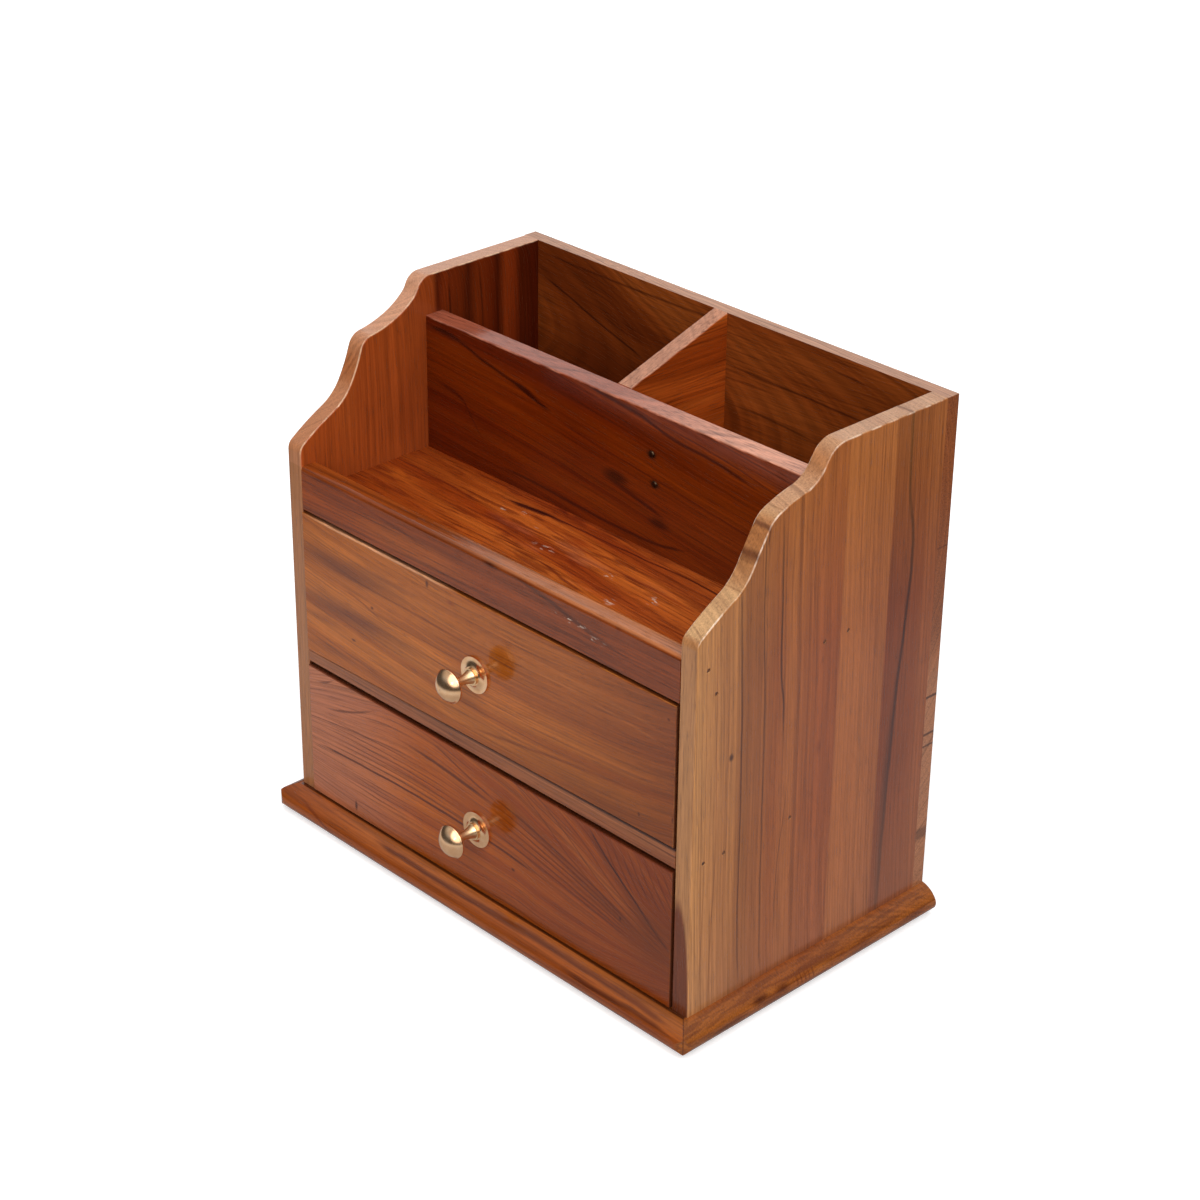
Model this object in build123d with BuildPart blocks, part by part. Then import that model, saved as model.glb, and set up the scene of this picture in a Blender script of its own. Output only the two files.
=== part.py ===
from build123d import *
import math
import os

# Desktop drawer organizer in solid wood: two drawers under an open tray, two tall pockets behind it.
# Millimetres. X runs across the front, -Y is the front, +Z is up.
# The origin is the middle of the base board's flat underside.

# Case
case_width = 260.0
case_depth = 152.6
side_height = 242.0
side_front_height = 176.0
side_thickness = 9.4
back_thickness = 7.6
edge_round = 0.8

# Base board and its thumb moulding, as runs outwards and drops from the board's top
base_thickness = 14.0
base_front_ledge = 2.2
thumb_crown = (4.9, -2.2)
thumb_shoulder = (7.8, -5.5)
thumb_under = (7.1, -10.9)
thumb_toe = (3.8, -14.0)
thumb_reach = 8.45
base_corner_round = 7.0

# Scallop of the sides: where its tangent arcs meet, as run back and rise from the front top
lower_sweep = [(2.2, 4.4), (19.5, 15.2), (30.3, 25.6)]
upper_steps = [(38.9, 40.4), (45.3, 45.9), (60.0, 50.3), (70.6, 57.5), (72.9, 60.9)]
left_steps_forward = 2.2

# Boards between the sides
lower_opening = 70.0
upper_opening = 68.7
divider_thickness = 10.3
divider_slope = 3.9
shelf_thickness = 8.0
rail_thickness = 9.5
rail_height = 21.0
rail_round = 1.9
partition_thickness = 10.8
partition_setback = 75.2
partition_height = 65.9
cross_thickness = 8.6
cross_offset = -1.1
board_round = 0.8

# Drawers
side_gap = 0.4
bottom_gap = 0.5
top_gap = 1.3
rear_gap = 3.0
front_thickness = 9.0
front_proud = 1.1
sill_room = 1.0
front_round = 0.5
wall_thickness = 6.5
wall_height = 61.0
wall_inset = 0.5
wall_lift = 0.4
lap_depth = 5.0
rear_wall_height = 50.0
floor_thickness = 4.0
floor_height = 5.0
groove_depth = 3.0
groove_slack = 0.2

# Turned brass knob and its rose, as (distance out from the drawer front, radius)
knob_offset = -1.5
lower_knob_height = 33.3
upper_knob_height = 32.0
rose_rim = (1.0, 8.6)
rose_step = (1.0, 7.3)
rose_hollow = (1.4, 5.6)
rose_seat = (2.2, 4.4)
knob_foot = (3.2, 3.9)
stem_root = (3.2, 3.3)
stem_taper = (5.5, 2.5)
stem_neck = (11.0, 2.1)
head_flare = (12.9, 3.3)
head_back = (14.4, 7.1)
head_rim = (15.3, 8.0)
head_shoulder = (16.1, 7.6)
knob_projection = 20.3

# Pins and nails: runs are measured back from the front, rises up from the named board
pin_radius = 0.9
pin_hole_radius = 0.95
pin_length = 24.0
pin_sunk = 0.3
rail_pin_run = 6.5
rail_pin_rise = 16.5
shelf_pin_runs = (11.5, 75.5, 90.0)
divider_pin_runs = (7.0, 19.0, 59.0)
divider_pin_rise = 4.5
side_nail_rises = (25.0, 115.0, 222.0)
board_nail_reach = 60.0
cross_nail_rise = 45.0
drawer_pin_length = 16.0
drawer_pin_rises = (20.0, 48.0)
brad_length = 14.0
brad_reaches = (-75.0, 0.0, 75.0)
partition_nail_length = 7.0
partition_nail_places = [(27.3, 46.1), (29.3, 32.6)]
nail_head_radius = 1.5
nail_head_height = 0.5
nail_head_slope = 30

# Screws
screw_radius = 1.5
screw_head_radius = 3.2
screw_head_depth = 2.6
screw_head_sunk = 0.6
screw_length = 32.0
screw_hole_slack = 0.05
base_screw_runs = (20.0, 76.0, 125.0)
knob_screw_radius = 1.5
knob_screw_head_radius = 3.1
knob_screw_head_height = 1.9
knob_screw_engagement = 5.0

# Places worked out from the sizes above
thumb_front = base_front_ledge + thumb_reach
flat_reach = base_front_ledge + thumb_toe[0]
front_y = -(case_depth - flat_reach) / 2
back_y = front_y + case_depth
panel_y = back_y - back_thickness
inner_x = case_width / 2 - side_thickness
case_z = base_thickness
divider_z = case_z + lower_opening
upper_z = divider_z + divider_thickness
shelf_z = upper_z + upper_opening
tray_z = shelf_z + shelf_thickness
top_z = case_z + side_height
partition_y = front_y + partition_setback
pocket_y = partition_y + partition_thickness
partition_z = tray_z + partition_height
drawer_y = front_y - front_proud
sill_depth = front_thickness - front_proud + sill_room

divider_pin_z = divider_z + divider_pin_rise
shelf_middle = shelf_z + shelf_thickness / 2
side_middle = case_width / 2 - side_thickness / 2

# Places of the pins, nails and screws
side_pin_spots = [(front_y + rail_pin_run, shelf_z + rail_pin_rise)]
side_pin_spots += [(front_y + run, shelf_middle) for run in shelf_pin_runs]
side_pin_spots += [(front_y + run, divider_pin_z) for run in divider_pin_runs]
back_nail_spots = [(side * side_middle, case_z + rise) for side in (-1, 1) for rise in side_nail_rises]
back_nail_spots += [(side * board_nail_reach, divider_pin_z) for side in (-1, 1)]
back_nail_spots += [(side * board_nail_reach, shelf_middle) for side in (-1, 1)]
back_nail_spots += [(cross_offset, tray_z + cross_nail_rise)]
base_screw_spots = [(side * side_middle, front_y + run) for side in (-1, 1) for run in base_screw_runs]
partition_nail_spots = [(x, tray_z + rise) for x, rise in partition_nail_places]

os.makedirs("parts", exist_ok=True)


def thumb_edge(start_x, start_z, outward):
    """Draw the thumb moulding from its top edge down to the underside and give back its toe."""
    crown, shoulder, under, toe = [
        (start_x + outward * run, start_z + drop)
        for run, drop in (thumb_crown, thumb_shoulder, thumb_under, thumb_toe)
    ]
    top_curve = ThreePointArc((start_x, start_z), crown, shoulder)
    TangentArc(shoulder, under, tangent=top_curve % 1)
    Line(under, toe)
    return toe


def cut_side_pins():
    """Cut the holes of the pins that come in through both sides."""
    for outward in (-1, 1):
        with BuildSketch(Plane.YZ.offset(outward * case_width / 2)) as holes:
            with Locations(*side_pin_spots):
                Circle(pin_hole_radius)
        extrude(holes.sketch, amount=-outward * pin_length, mode=Mode.SUBTRACT)


def cut_back_nails():
    """Cut the holes of the nails that come in through the back panel."""
    with BuildSketch(Plane.XZ.offset(-back_y)) as holes:
        with Locations(*back_nail_spots):
            Circle(pin_hole_radius)
    extrude(holes.sketch, amount=pin_length, mode=Mode.SUBTRACT)


def cut_base_screws():
    """Cut the holes of the screws that come up through the base board."""
    with BuildSketch(Plane.XY) as holes:
        with Locations(*base_screw_spots):
            Circle(screw_radius + screw_hole_slack)
    extrude(holes.sketch, amount=screw_length, mode=Mode.SUBTRACT)


# Base board: the moulding runs round the front and both ends, and the back is square
with BuildPart() as base_board:
    with BuildSketch(Plane.XZ.offset(-back_y)):
        with BuildLine():
            right_toe = thumb_edge(case_width / 2, base_thickness, 1)
            left_toe = thumb_edge(-case_width / 2, base_thickness, -1)
            Line(right_toe, left_toe)
            Line((-case_width / 2, base_thickness), (case_width / 2, base_thickness))
        make_face()
    extrude(amount=case_depth + thumb_front)
    with BuildSketch(Plane.YZ.offset(-case_width / 2 - thumb_reach)):
        with BuildLine():
            front_toe = thumb_edge(front_y - base_front_ledge, base_thickness, -1)
            Line(front_toe, (back_y, 0))
            Line((back_y, 0), (back_y, base_thickness))
            Line((back_y, base_thickness), (front_y - base_front_ledge, base_thickness))
        make_face()
    extrude(amount=case_width + 2 * thumb_reach, mode=Mode.INTERSECT)
    with BuildSketch(Plane.XY) as base_plan:
        with Locations((0, back_y)):
            Rectangle(
                case_width + 2 * thumb_reach,
                case_depth + thumb_front,
                align=(Align.CENTER, Align.MAX),
            )
        fillet(base_plan.vertices().group_by(Axis.Y)[0], base_corner_round)
    extrude(amount=base_thickness, mode=Mode.INTERSECT)
    cut_base_screws()
    with BuildSketch(Plane.XY):
        with Locations(*base_screw_spots):
            Circle(screw_head_radius + screw_hole_slack)
    extrude(amount=screw_head_sunk, mode=Mode.SUBTRACT)
    for x, y in base_screw_spots:
        with Locations((x, y, screw_head_sunk)):
            Cone(
                screw_head_radius + screw_hole_slack,
                screw_radius + screw_hole_slack,
                screw_head_depth,
                align=(Align.CENTER, Align.CENTER, Align.MIN),
                mode=Mode.SUBTRACT,
            )
base_board.part.label = "base_board"
export_step(base_board.part, "parts/base_board.step")


def side_panel(name, inner_face, outward, steps_forward=0):
    """Make one side: an upright board with the two-step scallop at its front top."""
    corner_z = case_z + side_front_height
    scallop = lower_sweep + [(run - steps_forward, rise) for run, rise in upper_steps]
    with BuildPart() as side:
        with BuildSketch(Plane.YZ.offset(inner_face)):
            with BuildLine():
                edge = Line((front_y, case_z), (front_y, corner_z))
                for run, rise in scallop:
                    meeting_point = (front_y + run, corner_z + rise)
                    edge = TangentArc(edge @ 1, meeting_point, tangent=edge % 1)
                slope = math.atan2((edge % 1).Y, (edge % 1).X)
                last_run = (top_z - (edge @ 1).Y) / math.tan(slope / 2)
                scallop_top = ((edge @ 1).X + last_run, top_z)
                TangentArc(edge @ 1, scallop_top, tangent=edge % 1)
                Line(scallop_top, (panel_y, top_z))
                Line((panel_y, top_z), (panel_y, case_z))
                Line((panel_y, case_z), (front_y, case_z))
            make_face()
        extrude(amount=outward * side_thickness)
        shown_edges = (
            side.edges()
            .filter_by_position(Axis.Y, front_y, panel_y - edge_round, inclusive=(True, True))
            .filter_by_position(Axis.Z, case_z + edge_round, top_z, inclusive=(True, True))
            .filter_by(Axis.X, reverse=True)
        )
        fillet(shown_edges, edge_round)
        cut_side_pins()
        cut_back_nails()
        cut_base_screws()
    side.part.label = name
    export_step(side.part, f"parts/{name}.step")


side_panel("left_side", -inner_x, -1, left_steps_forward)
side_panel("right_side", inner_x, 1)

# Back panel: nailed on behind the sides, so its ends show in the side view
with BuildPart() as back_panel:
    with BuildSketch(Plane.XZ.offset(-back_y)):
        with Locations((0, case_z)):
            Rectangle(case_width, side_height, align=(Align.CENTER, Align.MIN))
    extrude(amount=back_thickness)
    back_rim = back_panel.faces().sort_by(Axis.Y)[-1].edges()
    fillet(back_rim.filter_by_position(Axis.Z, case_z + edge_round, top_z), edge_round)
    cut_back_nails()
back_panel.part.label = "back_panel"
export_step(back_panel.part, "parts/back_panel.step")

# Board between the two drawers, its front edge planed down towards the left
with BuildPart() as drawer_divider:
    with BuildSketch(Plane.XY.offset(divider_z)):
        with Locations((0, front_y)):
            Rectangle(2 * inner_x, panel_y - front_y, align=(Align.CENTER, Align.MIN))
    extrude(amount=divider_thickness)
    with BuildSketch(Plane.XZ.offset(-front_y)):
        Polygon(
            (-inner_x, upper_z),
            (-inner_x, upper_z - divider_slope),
            (inner_x, upper_z),
            align=None,
        )
    extrude(amount=-sill_depth, mode=Mode.SUBTRACT)
    front_edges = drawer_divider.faces().sort_by(Axis.Y)[0].edges().filter_by(Axis.Z, reverse=True)
    fillet(front_edges, board_round)
    cut_side_pins()
    cut_back_nails()
drawer_divider.part.label = "drawer_divider"
export_step(drawer_divider.part, "parts/drawer_divider.step")

# Shelf: the floor of the tray and of the two pockets, behind the front rail
with BuildPart() as shelf_board:
    with BuildSketch(Plane.XY.offset(shelf_z)):
        with Locations((0, front_y + rail_thickness)):
            Rectangle(
                2 * inner_x,
                panel_y - front_y - rail_thickness,
                align=(Align.CENTER, Align.MIN),
            )
    extrude(amount=shelf_thickness)
    cut_side_pins()
    cut_back_nails()
shelf_board.part.label = "shelf_board"
export_step(shelf_board.part, "parts/shelf_board.step")

# Front rail: its rounded top is the lip of the tray
with BuildPart() as front_rail:
    with BuildSketch(Plane.XY.offset(shelf_z)):
        with Locations((0, front_y)):
            Rectangle(2 * inner_x, rail_thickness, align=(Align.CENTER, Align.MIN))
    extrude(amount=rail_height)
    fillet(front_rail.faces().sort_by(Axis.Z)[-1].edges().filter_by(Axis.X), rail_round)
    cut_side_pins()
front_rail.part.label = "front_rail"
export_step(front_rail.part, "parts/front_rail.step")

# Front partition: the low wall between the tray and the pockets
with BuildPart() as front_partition:
    with BuildSketch(Plane.XY.offset(tray_z)):
        with Locations((0, partition_y)):
            Rectangle(2 * inner_x, partition_thickness, align=(Align.CENTER, Align.MIN))
    extrude(amount=partition_height)
    fillet(front_partition.faces().sort_by(Axis.Z)[-1].edges().filter_by(Axis.X), board_round)
    with BuildSketch(Plane.XZ.offset(-partition_y)):
        with Locations(*partition_nail_spots):
            Circle(pin_hole_radius)
    extrude(amount=-partition_nail_length, mode=Mode.SUBTRACT)
front_partition.part.label = "front_partition"
export_step(front_partition.part, "parts/front_partition.step")

# Cross partition: parts the two pockets, its top slopes from the back down to the front partition
with BuildPart() as cross_partition:
    with BuildSketch(Plane.YZ.offset(cross_offset - cross_thickness / 2)):
        with BuildLine():
            Polyline(
                (pocket_y, tray_z),
                (panel_y, tray_z),
                (panel_y, top_z),
                (pocket_y, partition_z),
                close=True,
            )
        make_face()
    extrude(amount=cross_thickness)
    sloping_face = cross_partition.faces().sort_by(Axis.Z)[-1]
    fillet(sloping_face.edges().filter_by(Axis.X, reverse=True), board_round)
    cut_back_nails()
cross_partition.part.label = "cross_partition"
export_step(cross_partition.part, "parts/cross_partition.step")

# Two nails with round heads in the front partition
with BuildPart() as partition_nails:
    with BuildSketch(Plane.XZ.offset(-partition_y)):
        with Locations(*partition_nail_spots):
            Circle(pin_radius)
    extrude(amount=-partition_nail_length)
    with BuildSketch(Plane.XZ.offset(-partition_y)):
        with Locations(*partition_nail_spots):
            Circle(nail_head_radius)
    extrude(amount=nail_head_height, taper=nail_head_slope)
partition_nails.part.label = "partition_nails"
export_step(partition_nails.part, "parts/partition_nails.step")


def side_pins(name, outward):
    """Make the pins of one side, their ends punched a little under the surface."""
    with BuildPart() as pins:
        with BuildSketch(Plane.YZ.offset(outward * (case_width / 2 - pin_sunk))):
            with Locations(*side_pin_spots):
                Circle(pin_radius)
        extrude(amount=-outward * (pin_length - pin_sunk))
    pins.part.label = name
    export_step(pins.part, f"parts/{name}.step")


side_pins("left_side_pins", -1)
side_pins("right_side_pins", 1)

# Nails through the back panel
with BuildPart() as back_nails:
    with BuildSketch(Plane.XZ.offset(-back_y + pin_sunk)):
        with Locations(*back_nail_spots):
            Circle(pin_radius)
    extrude(amount=pin_length - pin_sunk)
back_nails.part.label = "back_nails"
export_step(back_nails.part, "parts/back_nails.step")

# Countersunk screws up through the base board into the two sides
with BuildPart() as base_screws:
    with BuildSketch(Plane.XY.offset(screw_head_sunk)):
        with Locations(*base_screw_spots):
            Circle(screw_radius)
    extrude(amount=screw_length - screw_head_sunk)
    for x, y in base_screw_spots:
        with Locations((x, y, screw_head_sunk)):
            Cone(
                screw_head_radius,
                screw_radius,
                screw_head_depth,
                align=(Align.CENTER, Align.CENTER, Align.MIN),
            )
base_screws.part.label = "base_screws"
export_step(base_screws.part, "parts/base_screws.step")


def dome_radius(half_width, rise):
    """Give the radius of the arc whose centre lies on the turning axis."""
    return (half_width**2 + rise**2) / (2 * rise)


def drawer(name, opening_z, opening_height, knob_height, slope=0):
    """Make one drawer with its knob, its front's lower edge running down to the left by slope."""
    face_half = inner_x - side_gap
    face_z = opening_z + bottom_gap
    face_top = opening_z + opening_height - top_gap
    face_back_y = drawer_y + front_thickness
    wall_outer = face_half - wall_inset
    wall_inner = wall_outer - wall_thickness
    wall_front_y = face_back_y - lap_depth
    wall_z = opening_z + wall_lift
    end_y = panel_y - rear_gap
    floor_z = opening_z + floor_height
    floor_top = floor_z + floor_thickness
    knob_z = opening_z + knob_height
    rear_wall_y = end_y - wall_thickness
    pin_lines = (wall_front_y + lap_depth / 2, end_y - wall_thickness / 2)
    pin_spots = [(y, opening_z + rise) for y in pin_lines for rise in drawer_pin_rises]
    brad_spots = [(x, end_y - wall_thickness / 2) for x in brad_reaches]

    def cut_pins():
        """Cut the holes of the pins that come in through both walls."""
        for outward in (-1, 1):
            with BuildSketch(Plane.YZ.offset(outward * wall_outer)) as holes:
                with Locations(*pin_spots):
                    Circle(pin_hole_radius)
            extrude(holes.sketch, amount=-outward * drawer_pin_length, mode=Mode.SUBTRACT)

    def cut_brads():
        """Cut the holes of the brads that come up through the drawer's bottom."""
        with BuildSketch(Plane.XY.offset(floor_z)) as holes:
            with Locations(*brad_spots):
                Circle(pin_hole_radius)
        extrude(holes.sketch, amount=brad_length, mode=Mode.SUBTRACT)

    def cut_floor_groove():
        """Cut the groove that the drawer's bottom slides into."""
        with BuildSketch(Plane.XY.offset(floor_z)) as groove:
            with Locations((0, face_back_y - groove_depth)):
                Rectangle(
                    2 * (wall_inner + groove_depth),
                    end_y - face_back_y + groove_depth,
                    align=(Align.CENTER, Align.MIN),
                )
        extrude(groove.sketch, amount=floor_thickness + groove_slack, mode=Mode.SUBTRACT)

    # Front: rebated at both ends for the walls, grooved for the bottom, drilled for the knob
    with BuildPart() as front:
        with BuildSketch(Plane.XZ.offset(-drawer_y)):
            Polygon(
                (-face_half, face_z - slope),
                (face_half, face_z),
                (face_half, face_top),
                (-face_half, face_top),
                align=None,
            )
        extrude(amount=-front_thickness)
        fillet(front.faces().sort_by(Axis.Y)[0].edges(), front_round)
        with BuildSketch(Plane.XY.offset(face_z - slope)):
            for outward in (-1, 1):
                with Locations((outward * face_half, face_back_y)):
                    Rectangle(2 * (wall_thickness + wall_inset), 2 * lap_depth)
        extrude(amount=face_top - face_z + slope, mode=Mode.SUBTRACT)
        cut_floor_groove()
        cut_pins()
        with BuildSketch(Plane.XZ.offset(-drawer_y)):
            with Locations((knob_offset, knob_z)):
                Circle(knob_screw_radius + screw_hole_slack)
        extrude(amount=-front_thickness, mode=Mode.SUBTRACT)
    front.part.label = f"{name}_drawer_front"
    export_step(front.part, f"parts/{name}_drawer_front.step")

    # Walls: lapped into the front, full length
    for side_name, outward in (("left", -1), ("right", 1)):
        with BuildPart() as wall:
            with BuildSketch(Plane.YZ.offset(outward * wall_inner)):
                with Locations((wall_front_y, wall_z)):
                    Rectangle(end_y - wall_front_y, wall_height, align=(Align.MIN, Align.MIN))
            extrude(amount=outward * wall_thickness)
            fillet(wall.faces().sort_by(Axis.Z)[-1].edges().filter_by(Axis.Y), front_round)
            cut_floor_groove()
            cut_pins()
        wall.part.label = f"{name}_drawer_{side_name}"
        export_step(wall.part, f"parts/{name}_drawer_{side_name}.step")

    # Back: stands on the bottom, between the walls
    with BuildPart() as back:
        with BuildSketch(Plane.XY.offset(floor_top)):
            with Locations((0, rear_wall_y)):
                Rectangle(2 * wall_inner, wall_thickness, align=(Align.CENTER, Align.MIN))
        extrude(amount=rear_wall_height)
        fillet(back.faces().sort_by(Axis.Z)[-1].edges().filter_by(Axis.X), front_round)
        cut_pins()
        cut_brads()
    back.part.label = f"{name}_drawer_back"
    export_step(back.part, f"parts/{name}_drawer_back.step")

    # Bottom: a thin panel in the grooves, passing under the back
    with BuildPart() as bottom:
        with BuildSketch(Plane.XY.offset(floor_z)):
            with Locations((0, face_back_y - groove_depth)):
                Rectangle(
                    2 * (wall_inner + groove_depth) - groove_slack,
                    end_y - face_back_y + groove_depth,
                    align=(Align.CENTER, Align.MIN),
                )
        extrude(amount=floor_thickness)
        cut_brads()
    bottom.part.label = f"{name}_drawer_bottom"
    export_step(bottom.part, f"parts/{name}_drawer_bottom.step")

    # Pins through the walls, punched a little under the surface
    with BuildPart() as pins:
        for outward in (-1, 1):
            with BuildSketch(Plane.YZ.offset(outward * (wall_outer - pin_sunk))):
                with Locations(*pin_spots):
                    Circle(pin_radius)
            extrude(amount=-outward * (drawer_pin_length - pin_sunk))
    pins.part.label = f"{name}_drawer_pins"
    export_step(pins.part, f"parts/{name}_drawer_pins.step")

    # Brads up through the bottom into the back
    with BuildPart() as brads:
        with BuildSketch(Plane.XY.offset(floor_z)):
            with Locations(*brad_spots):
                Circle(pin_radius)
        extrude(amount=brad_length)
    brads.part.label = f"{name}_bottom_brads"
    export_step(brads.part, f"parts/{name}_bottom_brads.step")

    # Rose: a stepped round plate, hollowed towards its raised seat
    knob_plane = Plane((knob_offset, drawer_y, knob_z), x_dir=(0, -1, 0), z_dir=(1, 0, 0))
    knob_axis = Axis((knob_offset, drawer_y, knob_z), (0, -1, 0))
    seat_out, seat_radius = rose_seat
    bore_radius = knob_screw_radius + screw_hole_slack
    with BuildPart() as rose:
        with BuildSketch(knob_plane):
            with BuildLine():
                Polyline((seat_out, bore_radius), (0, bore_radius), (0, rose_rim[1]), rose_rim, rose_step)
                ThreePointArc(rose_step, rose_hollow, rose_seat)
                Line(rose_seat, (seat_out, bore_radius))
            make_face()
        revolve(axis=knob_axis)
    rose.part.label = f"{name}_knob_rose"
    export_step(rose.part, f"parts/{name}_knob_rose.step")

    # Knob: a foot, a tapering stem and a shallow domed head, bored for its screw
    bore_end = seat_out + knob_screw_engagement
    dome_rise = knob_projection - head_shoulder[0]
    with BuildPart() as knob:
        with BuildSketch(knob_plane):
            with BuildLine():
                Polyline(
                    (bore_end, 0),
                    (bore_end, bore_radius),
                    (seat_out, bore_radius),
                    (seat_out, knob_foot[1]),
                    knob_foot,
                    stem_root,
                )
                ThreePointArc(stem_root, stem_taper, stem_neck)
                ThreePointArc(stem_neck, head_flare, head_back)
                ThreePointArc(head_back, head_rim, head_shoulder)
                RadiusArc(head_shoulder, (knob_projection, 0), dome_radius(head_shoulder[1], dome_rise))
                Line((knob_projection, 0), (bore_end, 0))
            make_face()
        revolve(axis=knob_axis)
    knob.part.label = f"{name}_knob"
    export_step(knob.part, f"parts/{name}_knob.step")

    # Screw from inside the drawer, with a round head
    head_seat = -front_thickness
    head_top = head_seat - knob_screw_head_height
    with BuildPart() as screw:
        with BuildSketch(knob_plane):
            with BuildLine():
                RadiusArc(
                    (head_top, 0),
                    (head_seat, knob_screw_head_radius),
                    dome_radius(knob_screw_head_radius, knob_screw_head_height),
                )
                Polyline(
                    (head_seat, knob_screw_head_radius),
                    (head_seat, knob_screw_radius),
                    (bore_end, knob_screw_radius),
                    (bore_end, 0),
                    (head_top, 0),
                )
            make_face()
        revolve(axis=knob_axis)
    screw.part.label = f"{name}_knob_screw"
    export_step(screw.part, f"parts/{name}_knob_screw.step")


drawer("lower", case_z, lower_opening, lower_knob_height)
drawer("upper", upper_z, upper_opening, upper_knob_height, divider_slope)
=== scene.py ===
import math

import bpy
from mathutils import Matrix, Vector

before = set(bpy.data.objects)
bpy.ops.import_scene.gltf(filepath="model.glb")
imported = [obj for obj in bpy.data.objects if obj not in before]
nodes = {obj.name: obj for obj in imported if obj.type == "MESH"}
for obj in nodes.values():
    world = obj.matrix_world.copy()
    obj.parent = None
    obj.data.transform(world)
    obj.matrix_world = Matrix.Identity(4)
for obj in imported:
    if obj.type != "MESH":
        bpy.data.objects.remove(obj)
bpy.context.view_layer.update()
scene = bpy.context.scene
scene.view_settings.view_transform = "Standard"
mm = 0.001

# Camera. A long lens looks down on the organizer's front right corner from 1.25 m away, and
# leans over by a little more than half a degree.
camera_place = Vector((790.2, -763.6, 715.7)) * mm
looked_at = Vector((-6.1, 4.3, 132.9)) * mm
camera_lean = math.radians(0.63)
lens = bpy.data.cameras.new("camera")
lens.sensor_width = 36.0
lens.lens = 83.35
lens.clip_end = 30.0
camera = bpy.data.objects.new("camera", lens)
facing = (looked_at - camera_place).to_track_quat("-Z", "Y").to_matrix().to_4x4()
camera.matrix_world = Matrix.Translation(camera_place) @ facing @ Matrix.Rotation(camera_lean, 4, "Z")
scene.collection.objects.link(camera)
scene.camera = camera


# Lamps. A wide soft box overhead and another behind on the left light the top edges, and two small
# bright ones in front and on the right glint on the brass and along the lacquered arrises.
organizer_middle = Vector((0, 0, 120)) * mm


def soft_box(name, place, size, brightness):
    """Hang a square soft box at place, turned to the organizer."""
    lamp = bpy.data.lights.new(name, "AREA")
    lamp.shape = "SQUARE"
    lamp.size = size
    lamp.energy = brightness * math.pi * size**2
    holder = bpy.data.objects.new(name, lamp)
    holder.location = place
    aim = organizer_middle - holder.location
    holder.rotation_euler = aim.to_track_quat("-Z", "Y").to_euler()
    scene.collection.objects.link(holder)


soft_box("soft_box_above", (0.1, -0.2, 2.2), 1.8, 0.8)
soft_box("soft_box_behind", (-1.25, 1.2, 1.05), 1.1, 0.72)
soft_box("soft_box_front", (0.74, -1.64, 1.0), 0.32, 5.0)
soft_box("soft_box_right", (1.43, -0.4, 1.4), 0.4, 5.0)


# Studio surroundings. Dim at the horizon and paler overhead, with one broad soft light above the
# camera, and pure white where the camera sees them.
def put(tree, kind, inputs=None, **settings):
    """Add a shader node, with its settings and with a value or a wire on each named input."""
    node = tree.nodes.new("ShaderNode" + kind)
    for name, value in settings.items():
        setattr(node, name, value)
    for key, value in (inputs or {}).items():
        if isinstance(value, bpy.types.NodeSocket):
            tree.links.new(value, node.inputs[key])
        else:
            node.inputs[key].default_value = value
    return node


def set_stops(ramp, stops):
    """Give a colour ramp its stops, each a place from 0 to 1 and a colour."""
    while len(ramp.elements) < len(stops):
        ramp.elements.new(1.0)
    for element, (place, colour) in zip(ramp.elements, stops):
        element.position = place
        element.color = colour


def grey(level):
    """Give a neutral colour."""
    return (level, level, level, 1.0)


surroundings = bpy.data.worlds.new("studio")
scene.world = surroundings
surroundings.use_nodes = True
sky = surroundings.node_tree
sky.nodes.clear()
direction = put(sky, "TexCoord").outputs["Generated"]
upwards = put(sky, "SeparateXYZ", {0: direction}).outputs["Z"]
height = put(sky, "MapRange", {"Value": upwards, "From Min": -1.0, "From Max": 1.0})
sky_tone = put(sky, "ValToRGB", {0: height.outputs[0]})
set_stops(sky_tone.color_ramp, [
    (0.5, grey(0.07)), (0.64, grey(0.08)), (0.74, grey(0.36)), (0.85, grey(0.58)), (1.0, grey(0.5)),
])
broad_light_place = Vector((0.48, -0.49, 0.72)).normalized()
closeness = put(sky, "VectorMath", {0: direction, 1: broad_light_place}, operation="DOT_PRODUCT")
broad_light = put(sky, "MapRange", {
    "Value": closeness.outputs["Value"], "From Min": 0.7, "From Max": 0.88, "To Max": 1.85,
}, interpolation_type="SMOOTHSTEP")
all_light = put(sky, "VectorMath", {0: sky_tone.outputs[0], 1: broad_light.outputs[0]}, operation="ADD")
seen_by = put(sky, "LightPath")
dim = put(sky, "Background", {"Color": all_light.outputs[0], "Strength": 1.0})
plain_white = put(sky, "Background", {"Color": grey(1.0), "Strength": 1.0})
pick = put(sky, "MixShader", {
    0: seen_by.outputs["Is Camera Ray"], 1: dim.outputs[0], 2: plain_white.outputs[0],
})
put(sky, "OutputWorld", {"Surface": pick.outputs[0]})


# Floor. A pale sweep that the organizer stands on, white to the eye. It keeps the organizer's soft
# shadow. In reflections it carries a painted shade close by, and fades about half a metre away.
def blank_material(name):
    """Start a material, and give it back with its empty node tree."""
    material = bpy.data.materials.new(name)
    material.use_nodes = True
    material.node_tree.nodes.clear()
    return material, material.node_tree


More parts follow.
